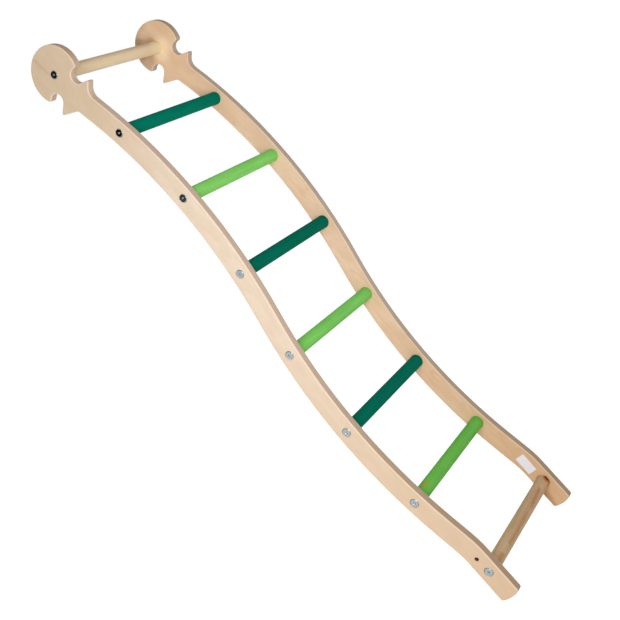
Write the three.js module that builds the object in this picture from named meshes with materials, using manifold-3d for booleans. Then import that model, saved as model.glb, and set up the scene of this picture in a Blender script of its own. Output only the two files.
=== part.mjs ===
import * as THREE from "three";
import { mergeVertices } from "three/addons/utils/BufferGeometryUtils.js";
import Module from "manifold-3d";

// A children's climbing ladder: two wavy plywood rails with hooked heads and eight round rungs.
// All lengths are millimetres. The rails are drawn in the ladder's own plane, where x runs from the
// top rung towards the foot and z points to the climbing side. The rungs lie along y.

// Pose. The ladder leans as it is used, with its lower notches over a bar and its feet down.
const LEAN_DEG = 44;

// Rungs.
const RUNG_COUNT = 8;
const RUNG_STEP_LENGTH = 180;
const RUNG_DIAMETER = 28;
const RUNG_CHAMFER = 1.5;
const SOCKET_DEPTH = 6;
const SOCKET_CLEARANCE = 0.3;

// Rails.
const INNER_WIDTH = 322;
const PLY_THICKNESS = 18;
const RAIL_WIDTH = 45;
const EDGE_ROUNDING = 2.4;

// Centre line of a rail, followed from the second rung to the foot. The two long bends and the
// straight calf take these shares of the run from the second rung to the last.
const NECK_RISE_DEG = 11.2;
const START_HEADING_DEG = 11.3;
const UPPER_BEND_RADIUS = 1124;
const UPPER_BEND_SHARE = 0.424;
const LOWER_BEND_RADIUS = 1092;
const LOWER_BEND_SHARE = 0.47;
const CALF_SHARE = 0.048;
const FOOT_BEND_RADIUS = 162;
const FOOT_BEND_DEG = 11;
const FOOT_END_RADIUS = 61;
const FOOT_CORNER_RADIUS = 4.5;

// Head of a rail: a round disc on the top rung's axis. On each edge it has a notch that hooks over
// a round bar, then a fin, then a valley that runs into the rail's edge. Each is placed from the one
// before it.
const HEAD_RADIUS = 59;
const BAR_DIAMETER = 28;
const BAR_CLEARANCE = 1;
const NOTCH_ALONG = 38.5;
const UPPER_NOTCH_RISE = 42.5;
const LOWER_NOTCH_DROP = 36;
const HOOK_TIP_RADIUS = 6;
const FIN_TIP_RADIUS = 3;
const UPPER_FIN_PAST_NOTCH = 24;
const UPPER_FIN_ABOVE_NOTCH = 9.5;
const UPPER_VALLEY_PAST_FIN = 25.5;
const UPPER_VALLEY_RADIUS = 22;
const LOWER_FIN_PAST_NOTCH = 26.2;
const LOWER_FIN_BELOW_NOTCH = 7.5;
const LOWER_VALLEY_PAST_FIN = 27;
const LOWER_VALLEY_RADIUS = 10;

// Connector bolts, one through each rail into each rung end.
const BOLT_HEAD_DIAMETER = 17;
const BOLT_HEAD_THICKNESS = 1.8;
const BOLT_HEAD_ROUNDING = 0.6;
const BOLT_SHANK_DIAMETER = 6;
const BOLT_REACH = 14;
const BOLT_TIP_CHAMFER = 0.8;
const HEX_ACROSS_FLATS = 4;
const HEX_DEPTH = 2.6;
const COUNTERBORE_CLEARANCE = 0.8;
const COUNTERBORE_DEPTH = 2.6;
const SHANK_CLEARANCE = 0.5;

// Threaded inserts in the rung ends.
const INSERT_DIAMETER = 10;
const INSERT_LENGTH = 15;
const INSERT_RECESS = 0.5;
const FITTING_GAP = 0.3;
const BORE_END_ROOM = 5;

// A blind peg hole in the outer face of each rail, between the two lowest rungs.
const PEG_HOLE_DIAMETER = 8;
const PEG_HOLE_DEPTH = 12;
const PEG_HOLE_FROM_LAST_RUNG = 31;

// One overrun serves all cuts.
const OVERRUN = 5;

// Fineness of the round stretches: how far a facet may lie inside its arc.
const OUTLINE_SAG = 0.12;
const SAME_POINT = 0.01;
const ROUND_SIDES = 18;
const BOLT_SIDES = 16;
const INSERT_SIDES = 10;
const EDGE_STEPS = 2;

const MATERIALS = {
  plywood: { color: 0xe6cba8, roughness: 0.62, metalness: 0 },
  naturalWood: { color: 0xd2b283, roughness: 0.6, metalness: 0 },
  darkGreen: { color: 0x036f58, roughness: 0.45, metalness: 0 },
  lightGreen: { color: 0x6dbd58, roughness: 0.45, metalness: 0 },
  zinc: { color: 0xb4c3c8, roughness: 0.3, metalness: 1 },
  brass: { color: 0xc2a25a, roughness: 0.35, metalness: 1 },
};
const RUNG_COLOURS = [
  "naturalWood",
  "darkGreen",
  "lightGreen",
  "darkGreen",
  "lightGreen",
  "darkGreen",
  "lightGreen",
  "naturalWood",
];

const wasm = await Module();
wasm.setup();

const radians = THREE.MathUtils.degToRad;
const FULL_TURN = 2 * Math.PI;

// Solids.

function solidOf(geometry) {
  const bare = geometry.clone();
  bare.deleteAttribute("normal");
  bare.deleteAttribute("uv");
  const merged = mergeVertices(bare);
  return new wasm.Manifold(
    new wasm.Mesh({
      numProp: 3,
      vertProperties: merged.attributes.position.array,
      triVerts: new Uint32Array(merged.index.array),
    }),
  );
}

function geometryOf(solid) {
  const mesh = solid.getMesh();
  const geometry = new THREE.BufferGeometry();
  geometry.setAttribute("position", new THREE.BufferAttribute(mesh.vertProperties, mesh.numProp));
  geometry.setIndex(new THREE.BufferAttribute(mesh.triVerts, 1));
  const faceted = geometry.toNonIndexed();
  faceted.computeVertexNormals();
  return faceted;
}

function namedMesh(name, geometry, materialName) {
  const material = new THREE.MeshStandardMaterial(MATERIALS[materialName]);
  const mesh = new THREE.Mesh(geometry, material);
  mesh.name = name;
  return mesh;
}

// A body turned about y from a profile of [radius, place along y] pairs.
function turned(profile, sides) {
  const points = profile.map(([radius, along]) => new THREE.Vector2(radius, along));
  return new THREE.LatheGeometry(points, sides);
}

// Centre line of a rail.

function advance(place, length, radius, sense) {
  if (radius === Infinity) {
    return {
      x: place.x + length * Math.cos(place.heading),
      z: place.z + length * Math.sin(place.heading),
      heading: place.heading,
    };
  }
  const centre = bendCentre(place, radius, sense);
  const heading = place.heading + (sense * length) / radius;
  return {
    x: centre.x + sense * radius * Math.sin(heading),
    z: centre.z - sense * radius * Math.cos(heading),
    heading,
  };
}

// The centre lies to the left of the line where it bends left (sense 1), and to the right otherwise.
function bendCentre(place, radius, sense) {
  return {
    x: place.x - sense * radius * Math.sin(place.heading),
    z: place.z + sense * radius * Math.cos(place.heading),
  };
}

const secondRung = {
  x: RUNG_STEP_LENGTH * Math.cos(radians(NECK_RISE_DEG)),
  z: RUNG_STEP_LENGTH * Math.sin(radians(NECK_RISE_DEG)),
  heading: radians(START_HEADING_DEG),
};
const run = (RUNG_COUNT - 2) * RUNG_STEP_LENGTH;
const stretches = [
  { length: run * UPPER_BEND_SHARE, radius: UPPER_BEND_RADIUS, sense: -1 },
  { length: run * LOWER_BEND_SHARE, radius: LOWER_BEND_RADIUS, sense: 1 },
  { length: run * CALF_SHARE, radius: Infinity, sense: 1 },
  { length: FOOT_BEND_RADIUS * radians(FOOT_BEND_DEG), radius: FOOT_BEND_RADIUS, sense: -1 },
];
let stretchStart = secondRung;
for (const stretch of stretches) {
  stretch.start = stretchStart;
  stretchStart = advance(stretchStart, stretch.length, stretch.radius, stretch.sense);
}
const footStart = stretchStart;
const [upperBend, lowerBend, , footBend] = stretches;

// The place on the centre line at a length from the second rung.
function onCentreLine(length) {
  let left = length;
  for (const stretch of stretches) {
    if (left <= stretch.length) {
      return advance(stretch.start, left, stretch.radius, stretch.sense);
    }
    left -= stretch.length;
  }
  return advance(footStart, left, Infinity, 1);
}

function distance(a, b) {
  return Math.hypot(a.x - b.x, a.z - b.z);
}

// Every rung is one spacing from the last, measured straight across as a drilling jig does.
function rungPlaces() {
  const places = [{ x: 0, z: 0 }, secondRung];
  let length = 0;
  while (places.length < RUNG_COUNT) {
    const last = places[places.length - 1];
    let near = length;
    let far = length + 2 * RUNG_STEP_LENGTH;
    for (let halving = 0; halving < 50; halving += 1) {
      const middle = (near + far) / 2;
      if (distance(onCentreLine(middle), last) < RUNG_STEP_LENGTH) near = middle;
      else far = middle;
    }
    length = far;
    places.push(onCentreLine(length));
  }
  return places;
}
const rungs = rungPlaces();
const lastRung = rungs[RUNG_COUNT - 1];

// Outline of a rail: a chain of circles, each touched by the next or joined to it by the straight
// line that touches both. A circle with sense 1 is walked to the left, with material inside it, and
// one with sense -1 to the right, with material outside it.

function circle(x, z, radius, sense) {
  return { x, z, radius, sense };
}

// Where two circles cross: the crossing on the left or right of the line between their centres.
function crossing(a, aRadius, b, bRadius, side) {
  const apart = distance(a, b);
  const along = (apart ** 2 + aRadius ** 2 - bRadius ** 2) / (2 * apart);
  const across = side * Math.sqrt(aRadius ** 2 - along ** 2);
  const dx = (b.x - a.x) / apart;
  const dz = (b.z - a.z) / apart;
  return { x: a.x + along * dx - across * dz, z: a.z + along * dz + across * dx };
}

// The heading of the line that leaves circle a and reaches circle b.
function joiningHeading(a, b) {
  const apart = distance(a, b);
  const lean = (b.sense * b.radius - a.sense * a.radius) / apart;
  const towards = Math.atan2(b.z - a.z, b.x - a.x);
  return towards - Math.asin(Math.max(-1, Math.min(1, lean)));
}

function chainPoints(circles) {
  const points = [];
  circles.forEach((current, index) => {
    const before = circles[(index + circles.length - 1) % circles.length];
    const after = circles[(index + 1) % circles.length];
    const from = joiningHeading(before, current);
    const to = joiningHeading(current, after);
    const forward = current.sense * (to - from);
    const turn = current.sense * (forward - FULL_TURN * Math.floor(forward / FULL_TURN));
    const step = 2 * Math.acos(1 - OUTLINE_SAG / current.radius);
    const count = Math.max(2, Math.ceil(Math.abs(turn) / step));
    for (let i = 0; i <= count; i += 1) {
      const heading = from + (turn * i) / count;
      const reach = current.sense * current.radius;
      const point = new THREE.Vector2(
        current.x + reach * Math.sin(heading),
        current.z - reach * Math.cos(heading),
      );
      const last = points[points.length - 1];
      if (!last || last.distanceTo(point) > SAME_POINT) points.push(point);
    }
  });
  if (points[0].distanceTo(points[points.length - 1]) < SAME_POINT) points.pop();
  return points;
}

function bendEdge(stretch, offset) {
  const centre = bendCentre(stretch.start, stretch.radius, stretch.sense);
  const radius = stretch.radius - stretch.sense * offset;
  // The upper edge is walked back towards the head, so its sense is turned round.
  const sense = offset > 0 ? -stretch.sense : stretch.sense;
  return circle(centre.x, centre.z, radius, sense);
}

// A valley runs tangent into the rail's edge, with its centre at a chosen place along the ladder.
function valley(edge, along, radius, side) {
  const reach = side > 0 ? edge.radius + radius : edge.radius - radius;
  const dx = along - edge.x;
  return circle(along, edge.z + Math.sqrt(reach ** 2 - dx ** 2), radius, -1);
}

function hookTip(head, notch, side) {
  const place = crossing(
    head,
    head.radius - HOOK_TIP_RADIUS,
    notch,
    notch.radius + HOOK_TIP_RADIUS,
    side,
  );
  return circle(place.x, place.z, HOOK_TIP_RADIUS, 1);
}

// A corner circle that touches the foot's straight edge and the round end.
function footCorner(side) {
  const reach = FOOT_END_RADIUS - FOOT_CORNER_RADIUS;
  const across = RAIL_WIDTH / 2 - FOOT_CORNER_RADIUS;
  const along = Math.sqrt(reach ** 2 - across ** 2);
  const cos = Math.cos(lastRung.heading);
  const sin = Math.sin(lastRung.heading);
  return circle(
    lastRung.x + along * cos - side * across * sin,
    lastRung.z + along * sin + side * across * cos,
    FOOT_CORNER_RADIUS,
    1,
  );
}

function railOutline() {
  const half = RAIL_WIDTH / 2;
  const notchRadius = BAR_DIAMETER / 2 + BAR_CLEARANCE;
  const head = circle(0, 0, HEAD_RADIUS, 1);
  const upperNotch = circle(NOTCH_ALONG, UPPER_NOTCH_RISE, notchRadius, -1);
  const lowerNotch = circle(NOTCH_ALONG, -LOWER_NOTCH_DROP, notchRadius, -1);
  const upperFin = circle(
    upperNotch.x + UPPER_FIN_PAST_NOTCH,
    upperNotch.z + UPPER_FIN_ABOVE_NOTCH,
    FIN_TIP_RADIUS,
    1,
  );
  const lowerFin = circle(
    lowerNotch.x + LOWER_FIN_PAST_NOTCH,
    lowerNotch.z - LOWER_FIN_BELOW_NOTCH,
    FIN_TIP_RADIUS,
    1,
  );
  const upperEdge = bendEdge(upperBend, half);
  const lowerEdge = bendEdge(upperBend, -half);
  return chainPoints([
    head,
    hookTip(head, lowerNotch, -1),
    lowerNotch,
    lowerFin,
    valley(lowerEdge, lowerFin.x + LOWER_VALLEY_PAST_FIN, LOWER_VALLEY_RADIUS, -1),
    lowerEdge,
    bendEdge(lowerBend, -half),
    bendEdge(footBend, -half),
    footCorner(-1),
    circle(lastRung.x, lastRung.z, FOOT_END_RADIUS, 1),
    footCorner(1),
    bendEdge(footBend, half),
    bendEdge(lowerBend, half),
    upperEdge,
    valley(upperEdge, upperFin.x + UPPER_VALLEY_PAST_FIN, UPPER_VALLEY_RADIUS, 1),
    upperFin,
    upperNotch,
    hookTip(head, upperNotch, 1),
  ]);
}

// Rails. Each is built with its outer face at y = 0 and its inner face at y = PLY_THICKNESS.

// The cutter for one rung: counterbore, bolt hole and rung socket in one turned tool.
function rungCutter(place) {
  const holeRadius = BOLT_SHANK_DIAMETER / 2 + SHANK_CLEARANCE;
  const counterboreRadius = BOLT_HEAD_DIAMETER / 2 + COUNTERBORE_CLEARANCE;
  const socketRadius = RUNG_DIAMETER / 2 + SOCKET_CLEARANCE;
  const socketFloor = PLY_THICKNESS - SOCKET_DEPTH;
  const tool = turned(
    [
      [0, -OVERRUN],
      [counterboreRadius, -OVERRUN],
      [counterboreRadius, COUNTERBORE_DEPTH],
      [holeRadius, COUNTERBORE_DEPTH],
      [holeRadius, socketFloor],
      [socketRadius, socketFloor],
      [socketRadius, PLY_THICKNESS + OVERRUN],
      [0, PLY_THICKNESS + OVERRUN],
    ],
    ROUND_SIDES,
  );
  return solidOf(tool.translate(place.x, 0, place.z));
}

function pegHoleCutter() {
  const radius = PEG_HOLE_DIAMETER / 2;
  const tool = turned(
    [
      [0, -OVERRUN],
      [radius, -OVERRUN],
      [radius, PEG_HOLE_DEPTH],
      [0, PEG_HOLE_DEPTH],
    ],
    INSERT_SIDES,
  );
  const x = lastRung.x - PEG_HOLE_FROM_LAST_RUNG * Math.cos(lastRung.heading);
  const z = lastRung.z - PEG_HOLE_FROM_LAST_RUNG * Math.sin(lastRung.heading);
  return solidOf(tool.translate(x, 0, z));
}

function railSolid() {
  const board = new THREE.ExtrudeGeometry(new THREE.Shape(railOutline()), {
    depth: PLY_THICKNESS - 2 * EDGE_ROUNDING,
    bevelThickness: EDGE_ROUNDING,
    bevelSize: EDGE_ROUNDING,
    bevelOffset: -EDGE_ROUNDING,
    bevelSegments: EDGE_STEPS,
  });
  board.rotateX(Math.PI / 2);
  board.translate(0, PLY_THICKNESS - EDGE_ROUNDING, 0);
  let rail = solidOf(board);
  for (const place of rungs) rail = rail.subtract(rungCutter(place));
  return rail.subtract(pegHoleCutter());
}

const OUTER_FACE = INNER_WIDTH / 2 + PLY_THICKNESS;

// Moves what was built for one side to that side: -1 is at low y, and 1 is its mirror image.
function placedOnSide(solid, side) {
  const moved = solid.translate([0, -OUTER_FACE, 0]);
  return side < 0 ? moved : moved.mirror([0, 1, 0]);
}

function railMesh(name, side) {
  return namedMesh(name, geometryOf(placedOnSide(railSolid(), side)), "plywood");
}

// Rungs: turned bars with a blind bore for the insert in each end.

function rungMesh(index) {
  const radius = RUNG_DIAMETER / 2;
  const end = INNER_WIDTH / 2 + SOCKET_DEPTH - SOCKET_CLEARANCE;
  const boreRadius = INSERT_DIAMETER / 2 + FITTING_GAP;
  const boreFloor = end - INSERT_RECESS - INSERT_LENGTH - BORE_END_ROOM;
  const bar = turned(
    [
      [0, -boreFloor],
      [boreRadius, -boreFloor],
      [boreRadius, -end],
      [radius - RUNG_CHAMFER, -end],
      [radius, RUNG_CHAMFER - end],
      [radius, end - RUNG_CHAMFER],
      [radius - RUNG_CHAMFER, end],
      [boreRadius, end],
      [boreRadius, boreFloor],
      [0, boreFloor],
    ],
    ROUND_SIDES,
  );
  const place = rungs[index];
  bar.translate(place.x, 0, place.z);
  return namedMesh(`rung_${index + 1}`, bar, RUNG_COLOURS[index]);
}

// Inserts: threaded tubes sunk a little below the rung's end.

function insertMesh(name, index, side) {
  const end = PLY_THICKNESS - SOCKET_DEPTH + SOCKET_CLEARANCE;
  const start = end + INSERT_RECESS;
  const outer = INSERT_DIAMETER / 2;
  const inner = BOLT_SHANK_DIAMETER / 2 + FITTING_GAP;
  const tube = turned(
    [
      [inner, start],
      [outer, start],
      [outer, start + INSERT_LENGTH],
      [inner, start + INSERT_LENGTH],
      [inner, start],
    ],
    INSERT_SIDES,
  );
  tube.translate(rungs[index].x, 0, rungs[index].z);
  return namedMesh(name, geometryOf(placedOnSide(solidOf(tube), side)), "brass");
}

// Bolts: a broad flat head with a hexagon socket, seated in the counterbore.

function boltSolid() {
  const headRadius = BOLT_HEAD_DIAMETER / 2;
  const shankRadius = BOLT_SHANK_DIAMETER / 2;
  const seat = COUNTERBORE_DEPTH - FITTING_GAP;
  const crown = seat - BOLT_HEAD_THICKNESS;
  const tip = PLY_THICKNESS - SOCKET_DEPTH + BOLT_REACH;
  const body = turned(
    [
      [0, crown],
      [headRadius - BOLT_HEAD_ROUNDING, crown],
      [headRadius, crown + BOLT_HEAD_ROUNDING],
      [headRadius, seat],
      [shankRadius, seat],
      [shankRadius, tip - BOLT_TIP_CHAMFER],
      [shankRadius - BOLT_TIP_CHAMFER, tip],
      [0, tip],
    ],
    BOLT_SIDES,
  );
  const hexRadius = HEX_ACROSS_FLATS / (2 * Math.cos(Math.PI / 6));
  const hex = new THREE.CylinderGeometry(hexRadius, hexRadius, HEX_DEPTH + OVERRUN, 6);
  hex.translate(0, crown + (HEX_DEPTH - OVERRUN) / 2, 0);
  return solidOf(body).subtract(solidOf(hex));
}

function boltMesh(name, index, side) {
  const bolt = boltSolid().translate([rungs[index].x, 0, rungs[index].z]);
  return namedMesh(name, geometryOf(placedOnSide(bolt, side)), "zinc");
}

// The ladder, turned into its leaning pose with the bar in the lower notches at the origin.

const ladder = new THREE.Group();
ladder.rotation.y = radians(LEAN_DEG);
const barPlace = new THREE.Vector3(NOTCH_ALONG, 0, -LOWER_NOTCH_DROP);
ladder.position.copy(barPlace.applyEuler(ladder.rotation).negate());

for (const [sideName, side] of [
  ["left", -1],
  ["right", 1],
]) {
  ladder.add(railMesh(`rail_${sideName}`, side));
  for (let index = 0; index < RUNG_COUNT; index += 1) {
    ladder.add(boltMesh(`bolt_${sideName}_${index + 1}`, index, side));
    ladder.add(insertMesh(`insert_${sideName}_${index + 1}`, index, side));
  }
}
for (let index = 0; index < RUNG_COUNT; index += 1) ladder.add(rungMesh(index));

const part = new THREE.Group();
part.add(ladder);

export default part;
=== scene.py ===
"""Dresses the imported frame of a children's climbing ladder.

Two wavy plywood rails with hooked heads carry eight round rungs, which are held by bolts with flat
heads. The ladder's own plane has x from the top rung towards the foot and z to the climbing side.
Lengths are in metres.
"""

import math

import bpy
from bpy.props import FloatProperty, FloatVectorProperty, IntProperty, PointerProperty
from mathutils import Matrix, Vector


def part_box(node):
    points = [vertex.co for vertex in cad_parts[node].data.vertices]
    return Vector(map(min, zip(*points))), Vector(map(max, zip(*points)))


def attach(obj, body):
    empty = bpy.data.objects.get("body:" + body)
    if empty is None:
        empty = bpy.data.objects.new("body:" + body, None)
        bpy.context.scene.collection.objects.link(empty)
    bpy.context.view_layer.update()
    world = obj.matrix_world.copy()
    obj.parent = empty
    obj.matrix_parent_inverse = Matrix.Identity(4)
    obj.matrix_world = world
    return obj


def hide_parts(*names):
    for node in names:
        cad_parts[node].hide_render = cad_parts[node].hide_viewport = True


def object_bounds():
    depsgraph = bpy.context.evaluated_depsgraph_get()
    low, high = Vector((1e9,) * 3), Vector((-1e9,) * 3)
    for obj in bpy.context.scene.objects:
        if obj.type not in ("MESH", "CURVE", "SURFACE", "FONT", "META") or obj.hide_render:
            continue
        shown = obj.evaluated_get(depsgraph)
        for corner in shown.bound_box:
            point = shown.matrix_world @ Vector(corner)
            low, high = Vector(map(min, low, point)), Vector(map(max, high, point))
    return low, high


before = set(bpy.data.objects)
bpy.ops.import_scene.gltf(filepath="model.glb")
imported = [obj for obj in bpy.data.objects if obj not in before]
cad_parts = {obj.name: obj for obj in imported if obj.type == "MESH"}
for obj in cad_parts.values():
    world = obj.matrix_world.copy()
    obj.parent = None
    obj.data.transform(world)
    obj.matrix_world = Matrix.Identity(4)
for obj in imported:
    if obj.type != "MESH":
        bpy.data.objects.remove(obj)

bl_info = {
    "name": "Climbing Ladder",
    "version": (1, 0, 0),
    "blender": (4, 5, 0),
    "location": "3D View > Sidebar > Ladder",
    "description": "Builds the visible pieces of a children's climbing ladder on its frame",
    "category": "Add Mesh",
}

CAD_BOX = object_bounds()

RUNG_NUMBERS = range(1, 9)
SIDES = ("left", "right")

# The ladder leans by this angle, and the bar in its lower notches is the origin. The notch centre
# is given in the ladder's own plane, as are the places below.
LEAN = math.radians(44)
BAR_PLACE = Vector((0.0385, 0.0, -0.036))
PEG_HOLE_PLACE = (1.2168, 0.0601)
LABEL_PLACE = (1.2001, 0.0572)
TOP_RUNG = RUNG_NUMBERS[0]
LOWEST_LIGHT_RUNG = 7
LOWEST_RUNG = RUNG_NUMBERS[-1]

# A face looks along y when its normal does so by this share.
FACING = 0.99

# Sizes along the grain, and across it both ways, of its fine streaks, broad figure and clouds.
# The ranges are the values between which each of them fades in.
STREAK_SIZE = (0.07, 0.0012, 0.0012)
STREAK_RANGE = (0.36, 0.66)
FIGURE_SIZE = (0.42, 0.035, 0.035)
FIGURE_RINGS = 170.0
FIGURE_RANGE = (0.1, 1.0)
CLOUD_SIZE = (0.06, 0.022, 0.022)
CLOUD_RANGE = (0.34, 0.66)

# The rungs' grain: its tint, and how much of it is streaks and how much is clouds.
GRAIN_SHADE = (0.8, 0.78, 0.74)
RUNG_STREAK_SHARE = 0.7
RUNG_CLOUD_SHARE = 0.3

# Patches of polish, specks of metal and fibres of paper to a metre, and the darker share of a tint.
POLISH_SCALE = 28.0
SPECKLE_SCALE = 900.0
SPECKLE_RANGE = (0.35, 0.65)
SPECKLE_SHADE = 0.86
FIBRE_SCALE = 400.0
FIBRE_RANGE = (0.35, 0.7)
FIBRE_SHADE = 0.93

# A mark's line wanders by a share of its width, and fades between two shares of it.
WANDER_SCALE = 90.0
WANDER_SHARE = 1.6
WANDER_WIDTH_LIMIT = 0.005
MARK_FADE = (0.25, 1.05)
MARK_THINNEST = 0.6

# The plywood. Spans are places along the ladder, and depths are measured from the nearer face.
# The foot's colour starts at the first place on the left rail and at the second on the right.
# The rim's painted highlight shows by the first share on the left rail and by the second on the
# right.
BETWEEN_RAILS = (-0.05, 0.05)
PLY_COUNT = 13
PLY_CHANGE = (0.42, 0.58)
SEAM_FADE = (0.03, 0.10)
SEAM_STRENGTH = 0.6
STREAK_STRENGTH = 0.1
CLOUD_STRENGTH = 0.2
FIGURE_STRENGTH = 0.09
RIGHT_FIGURE_EXTRA = 0.16
RIM_HIGHLIGHT_STRENGTHS = (0.45, 0.35)
VENEER_SLANT = math.radians(7)
VENEER_DEPTH = (0.0012, 0.0026)
RIM_HIGHLIGHT_DEPTH = (0.0010, 0.0022)
SKIN_DEPTH = (0.00002, 0.0003)
HEAD_SPAN = (0.10, 0.36)
FOOT_STARTS = (0.45, 0.60)
FOOT_END = 1.35
FIGURE_SPAN = (0.15, 0.75)
PLY_FOOT_SPAN = (0.55, 1.30)
PLY_HEAD_SPAN = (-0.02, 0.04)
# Painted shade in the blind hole: where it ends round the axis, and the depth it fades in over.
PEG_HOLE_SHADE_RIM = (0.0040, 0.0043)
PEG_HOLE_SHADE_FADE = 0.002

# The stains darken down the ladder between these places along x. Bare wood has one tint all over.
DARK_STAIN_SPAN = (0.15, 0.45)
LIGHT_STAIN_SPAN = (0.33, 0.86)
WHOLE_SPAN = (0.0, 1.0)
DARK_STAIN_GLOSS = 0.01
LIGHT_STAIN_GLOSS = 0.12
BARE_WOOD_GLOSS = 0.25

# Dark cards: name, middle, width and height, and turn about the vertical.
CARDS = (
    ("upper card", (-1.0, -1.5, -0.445), (0.98, 0.79), 0.0),
    ("front card", (0.075, -1.5, 0.325), (1.25, 0.25), 0.0),
    ("side card", (-1.9, -0.5, 0.0), (2.6, 1.8), math.pi / 2),
)
LAMP_TARGET = Vector((0.42, 0.0, -0.34))
KEY_PLACE = (1.1, -1.75, 0.27)
KEY_SIZE = 1.0
BACK_PLACE = (1.5, 1.9, 0.1)
BACK_SIZE = 1.2

# What the eye sees directly, or in a mirror or through glass.
SEEN_RAYS = ("Is Camera Ray", "Is Glossy Ray", "Is Transmission Ray")


def colour(red, green, blue):
    """The linear value of a colour that is written in steps of 0 to 255."""
    return tuple(
        step / 255 / 12.92 if step <= 10 else ((step / 255 + 0.055) / 1.055) ** 2.4
        for step in (red, green, blue)
    )


def on_ladder(x, z, y=0.0):
    """A point of the ladder's own plane, at width y, in the frame that the ladder leans in."""
    flat = Vector((x, y, z)) - BAR_PLACE
    return Matrix.Rotation(LEAN, 3, "Y") @ flat


def rung_axis(number):
    """The middle of a rung's axis."""
    low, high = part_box(f"rung_{number}")
    return (low + high) / 2


def on_rung(number, degrees, y):
    """A point on a rung's surface, at an angle up from the ladder's own plane."""
    turn = math.radians(degrees) - LEAN
    radius = bpy.context.scene.ladder_sizes.rung_diameter / 2
    return rung_axis(number) + Vector((radius * math.cos(turn), y, radius * math.sin(turn)))


def rung_line(number, *points):
    """A line on a rung's surface, through points that are each an angle and a place along y."""
    return tuple(on_rung(number, degrees, y) for degrees, y in points)


# Settings.


def length_setting(name, description, default):
    return FloatProperty(
        name=name, description=description, default=default, min=0.0, unit="LENGTH", precision=5
    )


def colour_setting(name, description, steps):
    return FloatVectorProperty(
        name=name,
        description=description,
        default=colour(*steps),
        size=3,
        min=0.0,
        max=1.0,
        subtype="COLOR",
    )


class LadderSizes(bpy.types.PropertyGroup):
    """Sizes of the pieces that are finer than the frame."""

    rung_diameter: length_setting("Rung Diameter", "Outer diameter of a rung", 0.028)
    rung_end_ease: length_setting("Rung End Ease", "Rounding of a rung's end edges", 0.0015)
    rung_bore: length_setting("Rung Bore", "Diameter of the bore in a rung's end", 0.0106)
    rung_bore_depth: length_setting("Rung Bore Depth", "Depth of the bore", 0.0205)
    socket_diameter: length_setting("Socket Diameter", "Rung sockets in the rails", 0.0287)
    socket_depth: length_setting("Socket Depth", "Depth of the rung sockets", 0.00602)
    counterbore_diameter: length_setting("Counterbore", "Seats of the bolt heads", 0.01868)
    counterbore_depth: length_setting("Counterbore Depth", "Depth of the seats", 0.00262)
    peg_hole_diameter: length_setting("Peg Hole", "Blind hole near the foot", 0.0081)
    peg_hole_depth: length_setting("Peg Hole Depth", "Depth of the blind hole", 0.01202)
    hole_ease: length_setting("Hole Ease", "Broken edge round each hole", 0.0003)
    bolt_head: length_setting("Bolt Head", "Diameter of a bolt's head", 0.017)
    bolt_head_thickness: length_setting("Head Thickness", "Thickness of the head", 0.0018)
    bolt_head_ease: length_setting("Head Ease", "Rounding of the head's edge", 0.0013)
    bolt_recess: length_setting("Bolt Recess", "Depth of the head under the face", 0.0005)
    bolt_shank: length_setting("Bolt Shank", "Diameter of the shank", 0.006)
    bolt_length: length_setting("Bolt Length", "Length of the shank under the head", 0.0237)
    bolt_tip_ease: length_setting("Tip Ease", "Taper at the shank's tip", 0.0008)
    hexagon: length_setting("Hexagon", "Width of the hexagon socket across its flats", 0.004)
    hexagon_depth: length_setting("Hexagon Depth", "Depth of the hexagon socket", 0.0026)
    hexagon_cone: length_setting("Hexagon Cone", "Depth of the cone at its bottom", 0.0015)
    hexagon_ease: length_setting("Hexagon Ease", "Countersink of the hexagon socket", 0.0003)
    label_length: length_setting("Label Length", "Blank paper label, along the rail", 0.0415)
    label_width: length_setting("Label Width", "Blank paper label, across the rail", 0.0222)
    label_thickness: length_setting("Label Thickness", "Thickness of the paper", 0.00012)
    label_corner: length_setting("Label Corner", "Radius of the label's corners", 0.0012)
    round_steps: IntProperty(
        name="Round Steps", description="Facets round a rung or bore", default=64, min=12
    )


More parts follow.
